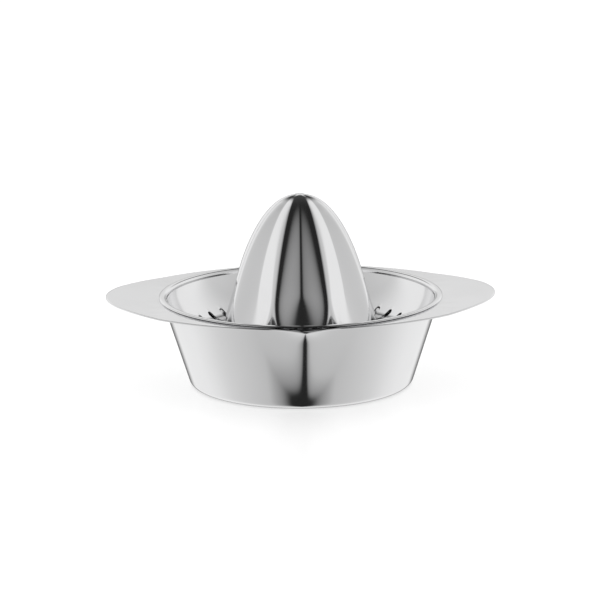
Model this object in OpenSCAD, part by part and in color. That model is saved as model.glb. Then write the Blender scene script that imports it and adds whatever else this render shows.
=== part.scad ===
// Two-piece citrus squeezer pressed from sheet steel, in millimetres.
// The juice bowl stands on its base, with the spout at -Y and a wing at each end of the X axis.
// The strainer insert drops into the bowl's mouth and carries the lobed reamer.
// The origin is the middle of the base's underside.

/* [Sheet] */
// Thickness of the steel sheet
sheet = 0.8; // [0.6:0.1:1.2]

/* [Bowl] */
// Radius of the flat underside that the bowl stands on
base_flat_r = 51.8; // [44:0.2:60]
// Outside radius of the corner between base and wall
base_corner_r = 3.5; // [2:0.5:8]
// Lean of the bowl's wall away from upright, in degrees
wall_lean = 17.5; // [10:0.5:22]
// Height of the flange's upper face above the table
rim_height = 42.9; // [36:0.1:60]
// Radius of the bend from the wall into the flange, below the sheet
rim_bend_r = 1; // [0.6:0.1:2]

/* [Flange and wings] */
// Width of the flange at the back, from the mouth to the edge
flange_ledge = 1.9; // [1.7:0.1:8]
// Length of each wing, from the mouth to the tip
wing_length = 26.6; // [18:0.2:40]
// Radius of the wing's rounded tip, seen from above
wing_tip_r = 42.4; // [30:0.2:60]
// How much higher a wing's tip is than the flange at the mouth
wing_rise = 1.4; // [0:0.1:3]

/* [Spout] */
// How far the spout's ridge stands out of the wall at the rim
spout_reach = 4.5; // [2:0.5:7]
// Half angle over which the spout's ridge is rounded, in degrees
spout_ridge_angle = 1.6; // [0.8:0.2:3]
// Width of the pouring lip in front of the spout's ridge
spout_lip = 4.8; // [2:0.2:7]

/* [Insert dish] */
// How far the lip reaches over the flange, past the bowl's mouth
lip_overlap = 1.5; // [1:0.1:3]
// Radius of the lip's turned-down edge, over the sheet
lip_edge_r = 1; // [0.9:0.1:1.4]
// Gap between the lip's edge and the flange that it rests on
seat_gap = 0.2; // [0.15:0.05:0.4]
// Distance from the bowl's mouth in to the upright neck that centres the insert
neck_inset = 2.9; // [2.7:0.1:4]
// Height of the upright neck
neck_h = 0.7; // [0.4:0.1:1.5]
// Radius of the bend from the neck into the lip, over the sheet
neck_bend_r = 1.5; // [1:0.1:1.6]
// Depth of the dish floor below the flange's upper face
dish_depth = 18.9; // [14:0.1:24]
// Lean of the dish's wall away from upright, in degrees
dish_lean = 38; // [30:1:42]
// Radius between the dish's floor and wall
dish_corner_r = 9; // [6:0.5:11]

/* [Strainer slots] */
// Number of slots round the dish
slot_count = 40; // [24:1:44]
// Width of a slot
slot_w = 1.6; // [1.2:0.1:2]
// Length of a slot along the dish's radius
slot_length = 10.2; // [6:0.2:11]
// How far a slot's outer end reaches up the dish's straight wall, measured outwards
slot_reach = 0.7; // [0.6:0.1:2]

/* [Reamer] */
// Width of the flat ring between the reamer's foot and the dish's corner
floor_w = 4.1; // [1:0.1:8]
// Height of the reamer above its widest level
reamer_h = 63.2; // [50:0.2:75]
// Radius of the hollow between the reamer's foot and the dish floor
foot_r = 6; // [4:0.2:8]
// Number of lobes round the reamer
lobe_count = 8; // [6:1:10]
// Steepness of a lobe's flanks
lobe_slope_ratio = 0.6; // [0.3:0.02:0.7]
// How much the flanks ease towards the valley between two lobes
lobe_ease_ratio = 0.62; // [0.3:0.02:0.9]
// Half angle over which a lobe's ridge is rounded, in degrees
lobe_ridge_angle = 5.5; // [3:0.5:9]
// Half angle over which a valley is rounded at the reamer's foot, in degrees
valley_foot_angle = 8; // [3:0.5:10]

/* [Hidden] */
steel = [0.80, 0.80, 0.81];

// The reamer's outline is a superellipse: its exponents up the height and out from the axis.
reamer_rise_power = 1.28;
reamer_swell_power = 2.26;
// How far round the outline runs, in degrees. The rest is a small flat at the tip.
reamer_end_angle = 87.5;
// Slope, ease and ridge of the lobes at the tip, as shares of their values at the foot.
tip_slope_share = 0.7;
tip_ease_share = 1.65;
tip_ridge_share = 1.8;
// Half angle of a valley above the foot, and the share of the height over which it narrows to that.
valley_line_angle = 1.5;
valley_share = 0.35;

// Steps of the rounded stretches and points of one lobe.
corner_steps = 3;
bend_steps = 2;
wall_steps = 4;
reamer_steps = 9;
lobe_points = 10;

// The bowl's mouth is where the bend from the wall ends and the flat flange begins.
bend_z = rim_height - sheet - rim_bend_r;
mouth_r = wall_out(bend_z, base_corner_r + rim_bend_r);

// The flange's oval is made of two long arcs and two tip arcs that meet at a tangent.
ledge_r = mouth_r + flange_ledge;
wing_r = mouth_r + wing_length;
arc_r = (wing_r * wing_r + ledge_r * ledge_r - 2 * wing_tip_r * wing_r) / (2 * (ledge_r - wing_tip_r));
arc_y = arc_r - ledge_r;
tip_x = wing_r - wing_tip_r;
meet_share = arc_r / (arc_r - wing_tip_r);
meet_angle = atan2(tip_x * meet_share, arc_y * (meet_share - 1));

// Centres of the insert's lip edge and neck bend, and the neck's foot where the dish's wall ends.
edge_x = mouth_r + lip_overlap - lip_edge_r;
edge_z = rim_height + seat_gap;
neck_r = mouth_r - neck_inset;
bend_x = neck_r + neck_bend_r;
neck_top = edge_z + lip_edge_r - neck_bend_r;
neck_z = neck_top - neck_h;

// Centres of the dish's corner and of the hollow at the reamer's foot.
floor_z = rim_height - dish_depth;
dish_z = floor_z + dish_corner_r;
dish_x = neck_r - dish_corner_r / cos(dish_lean) - (neck_z - dish_z) * tan(dish_lean);
foot_x = dish_x - floor_w;
foot_z = floor_z + foot_r;
reamer_r = foot_x - foot_r;
slot_end_r = dish_x + dish_corner_r * cos(dish_lean) + slot_reach;

function mix(a, b, share) = a + (b - a) * share;
function smooth_abs(x, w) = sqrt(x * x + w * w);
function radians(a) = a * PI / 180;
function polar(r, z, a) = [r * sin(a), -r * cos(a), z];
function backwards(list) = [for (i = [len(list) - 1 : -1 : 0]) list[i]];
function arc(x, z, r, from, to, steps) =
    [for (i = [0 : steps]) let (a = mix(from, to, i / steps)) [x + r * cos(a), z + r * sin(a)]];

// Radius at height z of the cone that stands off from the centre of the bowl's corner.
function wall_out(z, off) =
    base_flat_r + (off + (z - base_corner_r) * sin(wall_lean)) / cos(wall_lean);

// A closed solid through rings of points, with the first and the last ring filled in.
module loft(rings) {
    n = len(rings[0]);
    sides = [
        for (i = [0 : len(rings) - 2], j = [0 : n - 1])
            let (k = (j + 1) % n, low = i * n, high = low + n)
            each [[low + j, high + j, high + k], [low + j, high + k, low + k]]
    ];
    first = [for (j = [0 : n - 1]) j];
    last = [for (j = [n - 1 : -1 : 0]) (len(rings) - 1) * n + j];
    polyhedron([for (ring = rings) each ring], concat([first], sides, [last]), convexity = 10);
}

// The spout is two planes that leave the round wall at a tangent and meet in a rounded ridge.
function spout_r(r, z, a) =
    let (
        share = min(1, max(0, (z - base_corner_r) / (bend_z - base_corner_r))),
        leaves = acos(r / (r + spout_reach * share)),
        past = max(0, leaves - smooth_abs(a, spout_ridge_angle))
    )
    r / cos(past);

// The flange's edge is the oval, or the pouring lip where that stands out further.
function oval_r(a) =
    let (s = abs(sin(a)), c = abs(cos(a)))
    atan2(s, c) > meet_angle
        ? s * tip_x + sqrt(pow(s * tip_x, 2) + pow(wing_tip_r, 2) - pow(tip_x, 2))
        : sqrt(pow(c * arc_y, 2) + pow(arc_r, 2) - pow(arc_y, 2)) - c * arc_y;
function flange_r(a) =
    let (out = spout_r(mouth_r, rim_height, a) - mouth_r)
    max(oval_r(a), mouth_r + out + mix(flange_ledge, spout_lip, out / spout_reach));
// The flange rises along each wing, up to the tip.
function flange_lift(a) =
    wing_rise * max(0, flange_r(a) * abs(sin(a)) - mouth_r) / wing_length;

// One face of the bowl's sheet from the base to the mouth: the radii of its corner and of its bend.
function bowl_face(corner_r, bend_r) =
    let (
        low = base_corner_r - corner_r * sin(wall_lean),
        high = bend_z + bend_r * sin(wall_lean)
    )
    concat(
        arc(base_flat_r, base_corner_r, corner_r, -90, -wall_lean, corner_steps),
        [for (i = [1 : wall_steps - 1])
            let (z = mix(low, high, i / wall_steps))
            [wall_out(z, corner_r), z]],
        arc(mouth_r, bend_z, bend_r, 180 - wall_lean, 90, bend_steps)
    );

// Juice bowl: base, wall, spout and winged flange, drawn from one sheet.
module bowl() {
    half_turn = [for (a = [1 : 6]) a, for (a = [8 : 2 : 24]) a, for (a = [30 : 6 : 174]) a];
    angles = concat([for (a = backwards(half_turn)) -a], [0], half_turn, [180]);
    outside = bowl_face(base_corner_r, rim_bend_r);
    inside = bowl_face(base_corner_r - sheet, rim_bend_r + sheet);
    color(steel)
        loft(concat(
            [for (p = outside) [for (a = angles) polar(spout_r(p[0], p[1], a), p[1], a)]],
            [for (z = [rim_height - sheet, rim_height])
                [for (a = angles) polar(flange_r(a), z + flange_lift(a), a)]],
            [for (p = backwards(inside)) [for (a = angles) polar(spout_r(p[0], p[1], a), p[1], a)]]
        ));
}

// Radius at angle a as a share of the crest's, at a level between the reamer's foot (0) and its tip (1).
function lobe(a, level) =
    let (
        slope = lobe_slope_ratio * mix(1, tip_slope_share, level),
        ease = lobe_ease_ratio * mix(1, tip_ease_share, level),
        ridge = radians(lobe_ridge_angle * mix(1, tip_ridge_share, level)),
        valley = mix(valley_foot_angle, valley_line_angle, min(1, level / valley_share)),
        half = 180 / lobe_count,
        from_valley = abs((a + half) % (2 * half) - half),
        from_crest = radians(half - smooth_abs(from_valley, valley)),
        g = smooth_abs(from_crest, ridge)
    )
    exp(ease * (g * g - ridge * ridge) / 2 - slope * (g - ridge));

// One face of the insert's sheet from the reamer's tip to the lip's edge, at depth off below the top.
// Each entry is a radius, a height, the radius that takes the lobes, and the level on the reamer.
function insert_face(off) = concat(
    [for (i = [0 : reamer_steps])
        let (
            a = mix(reamer_end_angle, 0, i / reamer_steps),
            r = (reamer_r - off) * pow(cos(a), 2 / reamer_swell_power),
            level = pow(sin(a), 2 / reamer_rise_power)
        )
        [r, foot_z + (reamer_h - off) * level, r, level]],
    [for (i = [1 : corner_steps])
        let (a = 90 * i / corner_steps)
        [foot_x - (foot_r + off) * cos(a), foot_z - (foot_r + off) * sin(a), (reamer_r - off) * cos(a), 0]],
    [for (p = arc(dish_x, dish_z, dish_corner_r + off, -90, -dish_lean, corner_steps)) [p[0], p[1], 0, 0]],
    [[neck_r + off, neck_z - off * tan(dish_lean / 2), 0, 0]],
    [for (p = arc(bend_x, neck_top, neck_bend_r - off, 180, 90, bend_steps)) [p[0], p[1], 0, 0]],
    [for (p = arc(edge_x, edge_z, lip_edge_r - off, 90, 0, 1)) [p[0], p[1], 0, 0]]
);

// One strainer slot, cut straight down through the dish, with an eight-sided rounding at each end.
module slot() {
    hull() {
        for (r = [slot_end_r - slot_length + slot_w / 2, slot_end_r - slot_w / 2])
            translate([r, 0, floor_z - 3 * sheet])
                rotate([0, 0, 22.5])
                    cylinder(d = slot_w / cos(22.5), h = dish_corner_r, $fn = 8);
    }
}

// Strainer insert: lip, neck, slotted dish and lobed reamer, drawn from one sheet.
module strainer_insert() {
    n = lobe_count * lobe_points;
    angles = [for (j = [0 : n - 1]) 360 * j / n];
    rows = concat(insert_face(sheet), backwards(insert_face(0)));
    color(steel)
        difference() {
            loft([for (p = rows) [for (a = angles) polar(p[0] + p[2] * (lobe(a, p[3]) - 1), p[1], a)]]);
            for (i = [0 : slot_count - 1])
                rotate([0, 0, (i + 0.5) * 360 / slot_count])
                    slot();
        }
}

bowl();
strainer_insert();
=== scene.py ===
import math

import bmesh
import bpy
from mathutils import Matrix, Vector


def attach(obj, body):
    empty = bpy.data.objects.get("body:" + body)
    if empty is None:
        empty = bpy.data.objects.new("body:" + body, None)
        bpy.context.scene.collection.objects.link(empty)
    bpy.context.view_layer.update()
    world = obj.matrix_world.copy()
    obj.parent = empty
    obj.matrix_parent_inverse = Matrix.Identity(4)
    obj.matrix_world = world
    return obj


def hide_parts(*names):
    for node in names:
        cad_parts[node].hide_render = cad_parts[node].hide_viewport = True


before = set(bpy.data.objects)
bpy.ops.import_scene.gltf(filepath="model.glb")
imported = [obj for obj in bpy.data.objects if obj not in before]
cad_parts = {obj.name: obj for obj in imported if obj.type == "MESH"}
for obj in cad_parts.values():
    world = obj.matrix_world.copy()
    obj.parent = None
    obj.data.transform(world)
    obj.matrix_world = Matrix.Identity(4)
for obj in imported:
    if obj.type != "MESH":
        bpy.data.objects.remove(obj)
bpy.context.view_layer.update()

# Juice bowl: one drawn piece of stainless sheet, polished inside and out.
# Its round base turns up through a tight corner into a leaning wall, with a pouring spout pressed into it.
# The top edge is bent outwards into a flat flange that runs out into a wing at each side.
MM = 0.001
SHEET = 0.8
BASE_FLAT_R = 51.8
BASE_CORNER_R = 3.5
WALL_LEAN = math.radians(17.5)
RIM_HEIGHT = 42.9
RIM_BEND_R = 1.0
FLANGE_LEDGE = 1.9
WING_LENGTH = 26.6
WING_TIP_R = 42.4
WING_RISE = 1.4
SPOUT_REACH = 4.5
SPOUT_RIDGE = math.radians(2.2)
SPOUT_LIP = 2.6
SPOUT_LIP_BLEND = 0.3
SPOUT_FLARE = 1.9
SPOUT_FLARE_HEIGHT = 7.0
SPOUT_FLARE_TURN = math.radians(6.0)
# Painted shade at the bowl's standing ring: the height it reaches, and the share of the colour left at the
# very bottom.
STANDING_RING_H = 1.3
STANDING_RING_SHADE = 0.12

BEND_Z = RIM_HEIGHT - SHEET - RIM_BEND_R


def blend(a, b, share):
    """The value that lies a share of the way from a to b."""
    return a + (b - a) * share


def wall_radius(z, off):
    """Radius at height z of the face of the wall that lies a distance off from the base corner's centre."""
    rise = (z - BASE_CORNER_R) * math.sin(WALL_LEAN)
    return BASE_FLAT_R + (off + rise) / math.cos(WALL_LEAN)


MOUTH_R = wall_radius(BEND_Z, BASE_CORNER_R + RIM_BEND_R)


def at(r, z, turn):
    """A point of a ring, in metres. Turn 0 is the front, where the spout is."""
    return Vector((r * math.sin(turn), -r * math.cos(turn), z)) * MM


def arc(x, z, r, start, end, steps):
    """Points of a sheet's rounding, from one angle to the other in degrees."""
    turns = [math.radians(blend(start, end, i / steps)) for i in range(steps + 1)]
    return [(x + r * math.cos(t), z + r * math.sin(t)) for t in turns]


def spout_radius(r, z, turn):
    """The spout: planes at a tangent to the wall that meet in a ridge, with a flared lip at the top."""
    share = min(1.0, max(0.0, (z - BASE_CORNER_R) / (BEND_Z - BASE_CORNER_R)))
    leaves = math.acos(r / (r + SPOUT_REACH * share))
    past = max(0.0, leaves - math.hypot(turn, SPOUT_RIDGE))
    top = max(0.0, (z - RIM_HEIGHT + SPOUT_FLARE_HEIGHT) / SPOUT_FLARE_HEIGHT)
    flare = SPOUT_FLARE * top ** 2 * math.exp(-(turn / SPOUT_FLARE_TURN) ** 2)
    return r / math.cos(past) + flare


def flange_radius(turn):
    """The flange's outline: long arcs, a rounded tip on each wing, and the spout's lip in front."""
    ledge_r = MOUTH_R + FLANGE_LEDGE
    wing_r = MOUTH_R + WING_LENGTH
    arc_r = (wing_r ** 2 + ledge_r ** 2 - 2 * WING_TIP_R * wing_r) / (2 * (ledge_r - WING_TIP_R))
    arc_y = arc_r - ledge_r
    tip_x = wing_r - WING_TIP_R
    meet = arc_r / (arc_r - WING_TIP_R)
    across, forward = abs(math.sin(turn)), abs(math.cos(turn))
    if math.atan2(across, forward) > math.atan2(tip_x * meet, arc_y * (meet - 1)):
        oval = across * tip_x + math.sqrt((across * tip_x) ** 2 + WING_TIP_R ** 2 - tip_x ** 2)
    else:
        oval = math.sqrt((forward * arc_y) ** 2 + arc_r ** 2 - arc_y ** 2) - forward * arc_y
    mouth = spout_radius(MOUTH_R, RIM_HEIGHT, turn)
    spout = mouth + blend(FLANGE_LEDGE, SPOUT_LIP, (mouth - MOUTH_R) / SPOUT_REACH)
    return (oval + spout + math.hypot(oval - spout, SPOUT_LIP_BLEND)) / 2


def on_flange(r, z, turn):
    """A point of the flange, which rises along each wing up to the tip."""
    past = max(0.0, r * abs(math.sin(turn)) - MOUTH_R)
    return at(r, z + WING_RISE * past / WING_LENGTH, turn)


def bowl_face(corner_r, bend_r):
    """One face of the bowl's sheet, from the edge of its flat base to the mouth."""
    lean = math.degrees(WALL_LEAN)
    low = BASE_CORNER_R - corner_r * math.sin(WALL_LEAN)
    high = BEND_Z + bend_r * math.sin(WALL_LEAN)
    corner_steps, wall_steps, bend_steps = 9, 26, 8
    heights = [blend(low, high, i / wall_steps) for i in range(1, wall_steps)]
    return (arc(BASE_FLAT_R, BASE_CORNER_R, corner_r, -90, -lean, corner_steps)
            + [(wall_radius(z, corner_r), z) for z in heights]
            + arc(MOUTH_R, BEND_Z, bend_r, 180 - lean, 90, bend_steps))


def bowl_turns():
    """Angles of the bowl's columns, from the back all the way round, closest together at the spout."""
    columns = 440
    even_share = 0.3
    turns = []
    for i in range(columns):
        t = 2 * i / columns - 1
        turns.append(math.pi * (even_share * t + (1 - even_share) * t ** 3))
    return turns


def bowl_rings():
    """Rings of the bowl: from under its middle up the outside, round the flange and down the inside."""
    turns = bowl_turns()
    base_rings = 6
    base = [i / base_rings * BASE_FLAT_R for i in range(1, base_rings)]
    outside = [(r, 0.0) for r in base] + bowl_face(BASE_CORNER_R, RIM_BEND_R)
    inside = [(r, SHEET) for r in base] + bowl_face(BASE_CORNER_R - SHEET, RIM_BEND_R + SHEET)
    edge_r = SHEET / 2
    edge_steps = 8
    edge = arc(-edge_r, RIM_HEIGHT - edge_r, edge_r, -90, 90, edge_steps)
    flange_shares = (0.12, 0.35, 0.6, 0.8, 0.92, 0.98)
    mouth = [spout_radius(MOUTH_R, RIM_HEIGHT, t) for t in turns]
    outline = [flange_radius(t) for t in turns]

    def ring(r, z):
        return [at(spout_radius(r, z, t), z, t) for t in turns]

    def flange_ring(share, z):
        return [on_flange(blend(m, o - edge_r, share), z, t) for m, o, t in zip(mouth, outline, turns)]

    return ([[at(0, 0, 0)]]
            + [ring(r, z) for r, z in outside]
            + [flange_ring(share, RIM_HEIGHT - SHEET) for share in flange_shares]
            + [[on_flange(o + x, z, t) for o, t in zip(outline, turns)] for x, z in edge]
            + [flange_ring(share, RIM_HEIGHT) for share in reversed(flange_shares)]
            + [ring(r, z) for r, z in reversed(inside)]
            + [[at(0, SHEET, 0)]])


def placed(name, shape):
    """A new object at the origin, with the finished shape as its mesh."""
    mesh = bpy.data.meshes.new(name)
    shape.to_mesh(mesh)
    shape.free()
    piece = bpy.data.objects.new(name, mesh)
    bpy.context.scene.collection.objects.link(piece)
    return piece


def lofted(name, rings):
    """A closed piece through rings of points, of which the first and the last are single points."""
    shape = bmesh.new()
    rows = [[shape.verts.new(p) for p in ring] for ring in rings]
    for low, high in zip(rows, rows[1:]):
        for i in range(max(len(low), len(high))):
            if len(low) == 1:
                corners = [low[0], high[i], high[i - 1]]
            elif len(high) == 1:
                corners = [low[i - 1], low[i], high[0]]
            else:
                corners = [low[i - 1], low[i], high[i], high[i - 1]]
            shape.faces.new(corners)
    bmesh.ops.recalc_face_normals(shape, faces=shape.faces)
    for face in shape.faces:
        face.smooth = True
    return placed(name, shape)


bowl = lofted("juice_bowl", bowl_rings())


def polish_marks():
    """Shader group for polished sheet: broad faint smears, and fine polishing lines as a height."""
    group = bpy.data.node_groups.new("polish_marks", "ShaderNodeTree")
    group.interface.new_socket("Coordinates", in_out="INPUT", socket_type="NodeSocketVector")
    for name in ("Grain", "Line depth"):
        group.interface.new_socket(name, in_out="INPUT", socket_type="NodeSocketFloat")
    for name in ("Smear", "Height"):
        group.interface.new_socket(name, in_out="OUTPUT", socket_type="NodeSocketFloat")
    node = group.nodes
    link = group.links.new
    inputs = node.new("NodeGroupInput")
    outputs = node.new("NodeGroupOutput")
    smears = node.new("ShaderNodeTexNoise")
    smears.inputs["Scale"].default_value = 38.0
    smears.inputs["Detail"].default_value = 4.0
    lines = node.new("ShaderNodeTexNoise")
    lines.inputs["Detail"].default_value = 2.0
    depth = node.new("ShaderNodeMath")
    depth.operation = "MULTIPLY"
    link(inputs.outputs["Coordinates"], smears.inputs["Vector"])
    link(inputs.outputs["Coordinates"], lines.inputs["Vector"])
    link(inputs.outputs["Grain"], lines.inputs["Scale"])
    link(lines.outputs["Fac"], depth.inputs[0])
    link(inputs.outputs["Line depth"], depth.inputs[1])
    link(smears.outputs["Fac"], outputs.inputs["Smear"])
    link(depth.outputs["Value"], outputs.inputs["Height"])
    return group


POLISH = polish_marks()


def polished_steel(name, colour, smooth, smeared, grain, line_depth):
    """Bright stainless sheet: clean and smeared patches over a fine polishing grain."""
    material = bpy.data.materials.new(name)
    material.use_nodes = True
    node = material.node_tree.nodes
    link = material.node_tree.links.new
    steel = node["Principled BSDF"]
    steel.inputs["Metallic"].default_value = 1.0
    where = node.new("ShaderNodeTexCoord")
    marks = node.new("ShaderNodeGroup")
    marks.node_tree = POLISH
    marks.inputs["Grain"].default_value = grain
    marks.inputs["Line depth"].default_value = line_depth
    rough = node.new("ShaderNodeMapRange")
    rough.inputs["From Min"].default_value = 0.35
    rough.inputs["From Max"].default_value = 0.7
    rough.inputs["To Min"].default_value = smooth
    rough.inputs["To Max"].default_value = smeared
    smear_shade = 0.96
    tint = node.new("ShaderNodeMix")
    tint.data_type = "RGBA"
    tint.inputs["A"].default_value = (*colour, 1)
    tint.inputs["B"].default_value = (*[c * smear_shade for c in colour], 1)
    bump = node.new("ShaderNodeBump")
    bump.inputs["Strength"].default_value = 0.02
    bump.inputs["Distance"].default_value = 0.2 * MM
    link(where.outputs["Object"], marks.inputs["Coordinates"])
    link(marks.outputs["Smear"], rough.inputs["Value"])
    link(rough.outputs["Result"], steel.inputs["Roughness"])
    link(marks.outputs["Smear"], tint.inputs["Factor"])
    link(tint.outputs["Result"], steel.inputs["Base Color"])
    link(marks.outputs["Height"], bump.inputs["Height"])
    link(bump.outputs["Normal"], steel.inputs["Normal"])
    return material


def darken_standing_ring(material):
    """Painted shade: the base colour darkens towards the ring the bowl stands on, up to a small height,
    standing in for the contact shadow at the table.
    """
    node = material.node_tree.nodes
    link = material.node_tree.links.new
    steel = node["Principled BSDF"]
    # The base colour before the painted shade is laid over it.
    clean = steel.inputs["Base Color"].links[0].from_socket
    where = node.new("ShaderNodeTexCoord")
    split = node.new("ShaderNodeSeparateXYZ")
    # Painted contact shade: darkest at the very bottom, fading out by STANDING_RING_H.
    painted_contact_shade = node.new("ShaderNodeMapRange")
    painted_contact_shade.interpolation_type = "SMOOTHSTEP"
    painted_contact_shade.inputs["From Max"].default_value = STANDING_RING_H * MM
    painted_contact_shade.inputs["To Min"].default_value = STANDING_RING_SHADE
    tint = node.new("ShaderNodeMix")
    tint.data_type = "RGBA"
    tint.blend_type = "MULTIPLY"
    tint.inputs["Factor"].default_value = 1.0
    link(where.outputs["Object"], split.inputs["Vector"])
    link(split.outputs["Z"], painted_contact_shade.inputs["Value"])
    link(clean, tint.inputs["A"])
    link(painted_contact_shade.outputs["Result"], tint.inputs["B"])
    link(tint.outputs["Result"], steel.inputs["Base Color"])


bowl_steel = polished_steel("bowl_steel", colour=(0.86, 0.86, 0.865), smooth=0.08, smeared=0.13,
                            grain=900.0, line_depth=0.2)
# Painted shade: a dark band along the bowl's standing ring stands in for the contact shadow.
darken_standing_ring(bowl_steel)
bowl.data.materials.append(bowl_steel)
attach(bowl, "bowl")
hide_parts("bowl")

# Strainer insert: one drawn piece of stainless sheet that drops into the bowl's mouth on a rolled lip.
# Its dish is punched with radial slots, and the reamer is pressed up out of the middle in rounded lobes.
# One pitch of slots and one lobe are made, and each is set round the axis to close the ring.
LIP_OVERLAP = 0.9
LIP_EDGE_R = 0.85
LIP_EDGE_END = math.radians(30.0)
SEAT_GAP = 0.1
NECK_INSET = 2.9
NECK_H = 0.7
NECK_BEND_R = 1.5
NECK_FOOT_R = 0.3
DISH_DEPTH = 19.4
DISH_CORNER_R = 13.0
CORNER_LEAN = math.radians(45.0)
NECK_LEAN = math.radians(18.0)
FLOOR_W = 7.6
FOOT_R = 2.5
FOOT_H = 5.0
FOOT_FLARE = 0.02
REAMER_H = 62.2
REAMER_RISE = 1.355
REAMER_SWELL = 2.075
LOBE_COUNT = 8
FLANK_SLOPE_FOOT = 0.854
FLANK_SLOPE_TIP = 0.716
FLANK_EASE_FOOT = 1.716
FLANK_EASE_TIP = 1.15
RIDGE_FOOT = math.radians(2.0)
RIDGE_TIP = math.radians(6.6)
VALLEY = math.radians(1.08)
VALLEY_FOOT = math.radians(16.0)
VALLEY_FILL_LEVEL = 0.28
SLOT_COUNT = 40
SLOT_W = 2.8
SLOT_OUTER_R = 56.8
SLOT_INNER_R = 45.1
SLOT_MARGIN = 0.9
PUNCHED_EDGE_W = 0.075
PUNCHED_EDGE_ANGLE = math.radians(50.0)
INSERT_TURN = math.radians(-1.0)

EDGE_Z = RIM_HEIGHT + SEAT_GAP
NECK_R = MOUTH_R - NECK_INSET
NECK_TOP = EDGE_Z + LIP_EDGE_R - NECK_BEND_R
NECK_Z = NECK_TOP - NECK_H
FLOOR_Z = RIM_HEIGHT - DISH_DEPTH
DISH_Z = FLOOR_Z + DISH_CORNER_R
CORNER_TOP = DISH_Z - DISH_CORNER_R * math.sin(CORNER_LEAN)
WALL_R = (NECK_Z - CORNER_TOP) / (math.sin(CORNER_LEAN) - math.sin(NECK_LEAN))
WALL_X = NECK_R - WALL_R * math.cos(NECK_LEAN)
WALL_Z = NECK_Z + WALL_R * math.sin(NECK_LEAN)
DISH_X = WALL_X + (WALL_R - DISH_CORNER_R) * math.cos(CORNER_LEAN)
FOOT_X = DISH_X - FLOOR_W
FOOT_Z = FLOOR_Z + FOOT_R
REAMER_Z = FOOT_Z + FOOT_H
REAMER_R = FOOT_X - FOOT_R

# The mesh's columns in one pitch: those across the slot, those to each side of it, and the half angle that
# the first ones take in rows that no slot crosses.
SLOT_COLUMNS = 4
SIDE_COLUMNS = 4
PLAIN_HALF = math.radians(0.92)


def dish_height(r):
    """Height of the dish's upper face at radius r: flat floor, rounded corner, slightly hollow wall."""
    if r <= DISH_X:
        return FLOOR_Z
    if r <= DISH_X + DISH_CORNER_R * math.cos(CORNER_LEAN):
        return DISH_Z - math.sqrt(DISH_CORNER_R ** 2 - (r - DISH_X) ** 2)
    return WALL_Z - math.sqrt(WALL_R ** 2 - (r - WALL_X) ** 2)


def pitch_turns(half):
    """Angles of the columns across one pitch, with the slot's own out to a half angle on each side."""
    across = [half * (2 * j / SLOT_COLUMNS - 1) for j in range(1, SLOT_COLUMNS)]
    after = [blend(half, math.pi / SLOT_COUNT, i / SIDE_COLUMNS) for i in range(SIDE_COLUMNS + 1)]
    return [-t for t in reversed(after)] + across + after


def patch(name, rows, holes=()):
    """An open sheet through rows of points, without the cells that are holes."""
    shape = bmesh.new()
    grid = [[shape.verts.new(p) for p in row] for row in rows]
    for i, (low, high) in enumerate(zip(grid, grid[1:])):
        for j in range(len(low) - 1):
            if (i, j) not in holes:
                shape.faces.new([low[j], high[j], high[j + 1], low[j + 1]])
    loose = [v for v in shape.verts if not v.link_faces]
    bmesh.ops.delete(shape, geom=loose, context="VERTS")
    return placed(name, shape)


def rim_profile():
    """Upper face of the insert's rim: from the dish's wall up the neck, over the lip and down its edge."""
    foot_z = NECK_Z + NECK_FOOT_R * math.tan(NECK_LEAN / 2)
    edge_x = MOUTH_R + LIP_OVERLAP - LIP_EDGE_R
    foot_steps, bend_steps, edge_steps = 4, 9, 6
    return (arc(NECK_R - NECK_FOOT_R, foot_z, NECK_FOOT_R, -math.degrees(NECK_LEAN), 0, foot_steps)
            + arc(NECK_R + NECK_BEND_R, NECK_TOP, NECK_BEND_R, 180, 90, bend_steps)
            + arc(edge_x, EDGE_Z, LIP_EDGE_R, 90, math.degrees(LIP_EDGE_END), edge_steps))


def slot_end(r, side):
    """A slot's round end about radius r, on the side of the lip (1) or of the reamer (-1)."""
    half_w = SLOT_W / 2
    points = []
    for j in range(SLOT_COLUMNS + 1):
        turn = math.pi * (1 - j / SLOT_COLUMNS)
        reach = r + side * half_w * math.sin(turn)
        points.append(at(reach, dish_height(reach), math.asin(half_w * math.cos(turn) / reach)))
    return points


def slot_pitch():
    """One pitch of the dish, from the reamer's foot to the lip's edge, with a round-ended slot in it."""
    half_w = SLOT_W / 2
    first, last = SLOT_INNER_R + half_w, SLOT_OUTER_R - half_w
    slot_steps, wall_steps = 10, 12
    plain = pitch_turns(PLAIN_HALF)
    rim = rim_profile()
    rows = [[at(FOOT_X, FLOOR_Z, t) for t in plain]]
    for i in range(slot_steps + 1):
        r = blend(first, last, i / slot_steps)
        rows.append([at(r, dish_height(r), t) for t in pitch_turns(math.asin(half_w / r))])
    across = slice(SIDE_COLUMNS, SIDE_COLUMNS + SLOT_COLUMNS + 1)
    rows[1][across] = slot_end(first, -1)
    rows[-1][across] = slot_end(last, 1)
    for i in range(wall_steps):
        r = blend(SLOT_OUTER_R + SLOT_MARGIN, rim[0][0], i / wall_steps)
        rows.append([at(r, dish_height(r), t) for t in plain])
    rows += [[at(r, z, t) for t in plain] for r, z in rim]
    punched = range(SIDE_COLUMNS, SIDE_COLUMNS + SLOT_COLUMNS)
    holes = {(i, j) for i in range(1, slot_steps + 1) for j in punched}
    return patch("slot_pitch", rows, holes)


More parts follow.
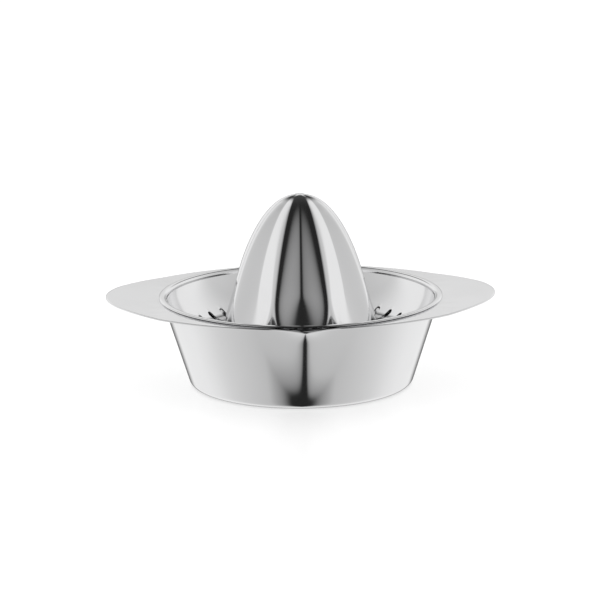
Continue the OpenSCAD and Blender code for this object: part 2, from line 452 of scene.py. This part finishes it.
def lobe_share(turn, level):
    """Radius at a turn as a share of the crest's, from the reamer's foot (level 0) to its tip (1).

    The flanks fall from a soft ridge into a valley. Near the foot the valley fills out and the lobe flares.
    """
    slope = blend(FLANK_SLOPE_FOOT, FLANK_SLOPE_TIP, level)
    ease = blend(FLANK_EASE_FOOT, FLANK_EASE_TIP, level)
    ridge = blend(RIDGE_FOOT, RIDGE_TIP, level)
    near_foot = max(0.0, 1 - level / VALLEY_FILL_LEVEL)
    valley = blend(VALLEY, VALLEY_FOOT, near_foot)
    half = math.pi / LOBE_COUNT
    from_valley = abs((turn + half) % (2 * half) - half)
    from_crest = half - math.hypot(from_valley, valley)
    softened = math.hypot(from_crest, ridge)
    flare = 1 + FOOT_FLARE * near_foot ** 2
    return flare * math.exp(ease * (softened ** 2 - ridge ** 2) / 2 - slope * (softened - ridge))


def lobe():
    """One turn of the lobes' pattern, from the reamer's tip down to its foot on the dish floor."""
    pitch = 2 * math.pi / SLOT_COUNT
    pitches = SLOT_COUNT // LOBE_COUNT
    turns = [t + k * pitch for k in range(pitches) for t in pitch_turns(PLAIN_HALF)[:-1]]
    turns.append(turns[0] + pitches * pitch)
    cone_steps, foot_steps = 43, 9
    rows = []
    for i in range(cone_steps + 1):
        a = math.radians(90 * (1 - i / cone_steps))
        r = REAMER_R * math.cos(a) ** (2 / REAMER_SWELL)
        level = math.sin(a) ** (2 / REAMER_RISE)
        rows.append([at(r * lobe_share(t, level), REAMER_Z + REAMER_H * level, t) for t in turns])
    for i in range(foot_steps + 1):
        a = math.radians(90 * i / foot_steps)
        r = FOOT_X - FOOT_R * math.cos(a)
        z = FOOT_Z - FOOT_R * math.sin(a)
        rows.append([at(r + REAMER_R * math.cos(a) * (lobe_share(t, 0) - 1), z, t) for t in turns])
    return patch("lobe", rows)


def round_the_axis():
    """Geometry nodes: sets copies of one wedge round the upright axis and joins their edges."""
    tree = bpy.data.node_groups.new("round_the_axis", "GeometryNodeTree")
    for name, kind in (("Geometry", "NodeSocketGeometry"), ("Count", "NodeSocketInt"),
                       ("Join distance", "NodeSocketFloat"), ("Finish", "NodeSocketMaterial")):
        tree.interface.new_socket(name, in_out="INPUT", socket_type=kind)
    tree.interface.new_socket("Geometry", in_out="OUTPUT", socket_type="NodeSocketGeometry")
    node = tree.nodes
    link = tree.links.new
    inputs = node.new("NodeGroupInput")
    outputs = node.new("NodeGroupOutput")
    points = node.new("GeometryNodePoints")
    place = node.new("GeometryNodeInstanceOnPoints")
    index = node.new("GeometryNodeInputIndex")
    step = node.new("ShaderNodeMath")
    step.operation = "DIVIDE"
    step.inputs[0].default_value = 2 * math.pi
    turn = node.new("ShaderNodeMath")
    turn.operation = "MULTIPLY"
    upright = node.new("ShaderNodeCombineXYZ")
    realize = node.new("GeometryNodeRealizeInstances")
    merge = node.new("GeometryNodeMergeByDistance")
    smooth = node.new("GeometryNodeSetShadeSmooth")
    finish = node.new("GeometryNodeSetMaterial")
    link(inputs.outputs["Count"], points.inputs["Count"])
    link(inputs.outputs["Count"], step.inputs[1])
    link(index.outputs["Index"], turn.inputs[0])
    link(step.outputs["Value"], turn.inputs[1])
    link(turn.outputs["Value"], upright.inputs["Z"])
    link(points.outputs["Points"], place.inputs["Points"])
    link(inputs.outputs["Geometry"], place.inputs["Instance"])
    link(upright.outputs["Vector"], place.inputs["Rotation"])
    link(place.outputs["Instances"], realize.inputs["Geometry"])
    link(realize.outputs["Geometry"], merge.inputs["Geometry"])
    link(inputs.outputs["Join distance"], merge.inputs["Distance"])
    link(merge.outputs["Geometry"], smooth.inputs["Geometry"])
    link(smooth.outputs["Geometry"], finish.inputs["Geometry"])
    link(inputs.outputs["Finish"], finish.inputs["Material"])
    link(finish.outputs["Geometry"], outputs.inputs["Geometry"])
    return tree


ROUND_THE_AXIS = round_the_axis()
JOIN_DISTANCE = 0.02 * MM


def plain_mesh(piece):
    """The piece's finished mesh, with every modifier applied."""
    seen = piece.evaluated_get(bpy.context.evaluated_depsgraph_get())
    mesh = bpy.data.meshes.new_from_object(seen)
    piece.modifiers.clear()
    return mesh


def all_round(wedge, count, finish):
    """The closed ring that copies of a wedge make, as a plain mesh. The wedge itself is removed."""
    modifier = wedge.modifiers.new("round_the_axis", "NODES")
    modifier.node_group = ROUND_THE_AXIS
    values = {"Count": count, "Join distance": JOIN_DISTANCE, "Finish": finish}
    for socket in ROUND_THE_AXIS.interface.items_tree:
        if socket.in_out == "INPUT" and socket.name in values:
            modifier[socket.identifier] = values[socket.name]
    mesh = plain_mesh(wedge)
    bpy.data.objects.remove(wedge)
    return mesh


insert_steel = polished_steel("insert_steel", colour=(0.86, 0.86, 0.865), smooth=0.09, smeared=0.14,
                              grain=900.0, line_depth=0.2)
pressing = bmesh.new()
pressing.from_mesh(all_round(lobe(), LOBE_COUNT, insert_steel))
pressing.from_mesh(all_round(slot_pitch(), SLOT_COUNT, insert_steel))
bmesh.ops.remove_doubles(pressing, verts=pressing.verts, dist=JOIN_DISTANCE)
bmesh.ops.recalc_face_normals(pressing, faces=pressing.faces)
tip = max(pressing.verts, key=lambda v: v.co.z)
if tip.normal.z < 0:
    bmesh.ops.reverse_faces(pressing, faces=pressing.faces)
bmesh.ops.rotate(pressing, verts=pressing.verts, matrix=Matrix.Rotation(INSERT_TURN, 3, "Z"))
insert = placed("strainer_and_reamer", pressing)
insert.data.materials.append(insert_steel)
thick = insert.modifiers.new("sheet", "SOLIDIFY")
thick.thickness = SHEET * MM
thick.offset = -1
thick.use_even_offset = True
edges = insert.modifiers.new("punched_edges", "BEVEL")
edges.width = PUNCHED_EDGE_W * MM
edges.segments = 2
edges.limit_method = "ANGLE"
edges.angle_limit = PUNCHED_EDGE_ANGLE
edges.harden_normals = True
insert.data = plain_mesh(insert)
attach(insert, "insert")
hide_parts("strainer_insert")

# Studio: a white table, a soft white tent that is brightest behind the object, and the camera in its slit.
# The slit is the dark band that polished steel shows wherever it faces the camera. It runs up from the
# table in front, over the top and part of the way down the back.
CAMERA_TURN = math.radians(-1.73)
CAMERA_RISE = math.radians(13.08)
CAMERA_ROLL = math.radians(-0.58)
CAMERA_DISTANCE = 1.271
CAMERA_LENS = 156.0
CAMERA_SENSOR = 36.0
LOOK_AT = Vector((-0.00035, 0, 0.04051))
TABLE_HALF = 15.0
TABLE_GLOW = 0.61

to_camera = Vector((math.sin(CAMERA_TURN) * math.cos(CAMERA_RISE),
                    -math.cos(CAMERA_TURN) * math.cos(CAMERA_RISE), math.sin(CAMERA_RISE)))
camera = bpy.data.objects.new("camera", bpy.data.cameras.new("camera"))
camera.data.lens = CAMERA_LENS
camera.data.sensor_width = CAMERA_SENSOR
camera.location = LOOK_AT + to_camera * CAMERA_DISTANCE
camera.rotation_euler = (-to_camera).to_track_quat("-Z", "Y").to_euler()
camera.rotation_euler.rotate_axis("Z", CAMERA_ROLL)
bpy.context.scene.collection.objects.link(camera)
bpy.context.scene.camera = camera
bpy.context.scene.view_settings.view_transform = "Standard"

table = bpy.data.objects.new("table", bpy.data.meshes.new("table"))
corners = [(x * TABLE_HALF, y * TABLE_HALF, 0) for x, y in ((-1, -1), (1, -1), (1, 1), (-1, 1))]
table.data.from_pydata(corners, [], [(0, 1, 2, 3)])
bpy.context.scene.collection.objects.link(table)
white = bpy.data.materials.new("white_table")
white.use_nodes = True
table_top = white.node_tree.nodes["Principled BSDF"]
table_top.inputs["Base Color"].default_value = (0.5, 0.5, 0.5, 1)
table_top.inputs["Roughness"].default_value = 0.25
table_top.inputs["Specular IOR Level"].default_value = 0.25
table_top.inputs["Emission Color"].default_value = (1, 1, 1, 1)
table_top.inputs["Emission Strength"].default_value = TABLE_GLOW
table.data.materials.append(white)
table.visible_glossy = False

# The tent's brightness at angles from the slit's middle, in degrees, and what is lighter or darker in it.
TENT_LEVELS = ((0, 0.3), (24, 0.3), (32, 0.42), (40, 0.57), (70, 0.67), (86, 0.74), (104, 0.86),
               (120, 0.93), (180, 0.95))
BACK_START = math.radians(80)
BACK_FULL = math.radians(150)
BACK_LEVEL = 0.92
SLIT_INNER = math.radians(12)
SLIT_OUTER = math.radians(26)
SLIT_FADE_START = math.radians(150)
SLIT_FADE_END = math.radians(161)
SLIT_SHADE = 0.93
DARK_INNER = math.radians(9)
DARK_OUTER = math.radians(30)
DARK_SHADE = 0.85
OVERHEAD_STRENGTH = 1.6
OVERHEAD_SPREAD = math.radians(120)

world = bpy.data.worlds.new("tent")
world.use_nodes = True
bpy.context.scene.world = world
node = world.node_tree.nodes
link = world.node_tree.links.new
sky = node.new("ShaderNodeTexCoord").outputs["Generated"]


def joined(kind, operation, *values):
    """A node of the tent that works out one value from others, which may be plain numbers."""
    step = node.new(kind)
    step.operation = operation
    for socket, value in zip(step.inputs, values):
        if isinstance(value, bpy.types.NodeSocket):
            link(value, socket)
        else:
            socket.default_value = value
    return step.outputs["Value"]


def number(operation, *values):
    """One step of arithmetic on the tent's numbers."""
    return joined("ShaderNodeMath", operation, *values)


def along(direction):
    """How far a look into the tent goes along a direction."""
    return joined("ShaderNodeVectorMath", "DOT_PRODUCT", sky, direction)


def left_of(share):
    """What a share leaves of the whole."""
    return number("SUBTRACT", 1.0, share)


def ramp(value, start, end):
    """Rises smoothly from 0 to 1 between two values."""
    step = node.new("ShaderNodeMapRange")
    step.interpolation_type = "SMOOTHSTEP"
    step.inputs["From Min"].default_value = start
    step.inputs["From Max"].default_value = end
    link(value, step.inputs["Value"])
    return step.outputs["Result"]


# Angles of a look into the tent: aside from the slit's middle, which is an arch above the table and only in
# front below it, and over the top from the front (0) to the back.
aside = number("ABSOLUTE", along((math.cos(CAMERA_TURN), math.sin(CAMERA_TURN), 0)))
ahead = along((math.sin(CAMERA_TURN), -math.cos(CAMERA_TURN), 0))
height = along((0, 0, 1))
above = number("MAXIMUM", height, 0.0)
is_above = number("GREATER_THAN", height, 0.0)
ahead_squared = number("POWER", number("ABSOLUTE", ahead), 2.0)
arch = number("SQRT", number("ADD", ahead_squared, number("POWER", above, 2.0)))
front = number("ADD", number("MULTIPLY", arch, is_above), number("MULTIPLY", ahead, left_of(is_above)))
slit_turn = number("ARCTAN2", aside, front)
over = number("ARCTAN2", above, ahead)

tent = node.new("ShaderNodeValToRGB")
tent.color_ramp.interpolation = "LINEAR"
stops = tent.color_ramp.elements
# A new ramp already has two stops.
for i, (turn, level) in enumerate(TENT_LEVELS):
    stop = stops[i] if i < 2 else stops.new(turn / 180)
    stop.position = turn / 180
    stop.color = (level, level, level, 1)
link(number("DIVIDE", slit_turn, math.pi), tent.inputs["Fac"])

# The back is evenly bright. The slit fades out part of the way down it, and a dark patch straight across
# from the camera gives the steel its dark outline.
behind = number("MULTIPLY", ramp(over, BACK_START, BACK_FULL), is_above)
walls = number("ADD", number("MULTIPLY", tent.outputs["Color"], left_of(behind)),
               number("MULTIPLY", behind, BACK_LEVEL))
slit = number("MULTIPLY", left_of(ramp(slit_turn, SLIT_INNER, SLIT_OUTER)),
              left_of(ramp(over, SLIT_FADE_START, SLIT_FADE_END)))
dark_patch = ramp(along(-to_camera), math.cos(DARK_OUTER), math.cos(DARK_INNER))
lit = number("MULTIPLY", left_of(number("MULTIPLY", slit, SLIT_SHADE)),
             left_of(number("MULTIPLY", dark_patch, DARK_SHADE)))
link(number("MULTIPLY", walls, lit), node["Background"].inputs["Color"])

overhead = bpy.data.objects.new("overhead", bpy.data.lights.new("overhead", "SUN"))
overhead.data.energy = OVERHEAD_STRENGTH
overhead.data.angle = OVERHEAD_SPREAD
overhead.visible_glossy = False
bpy.context.scene.collection.objects.link(overhead)
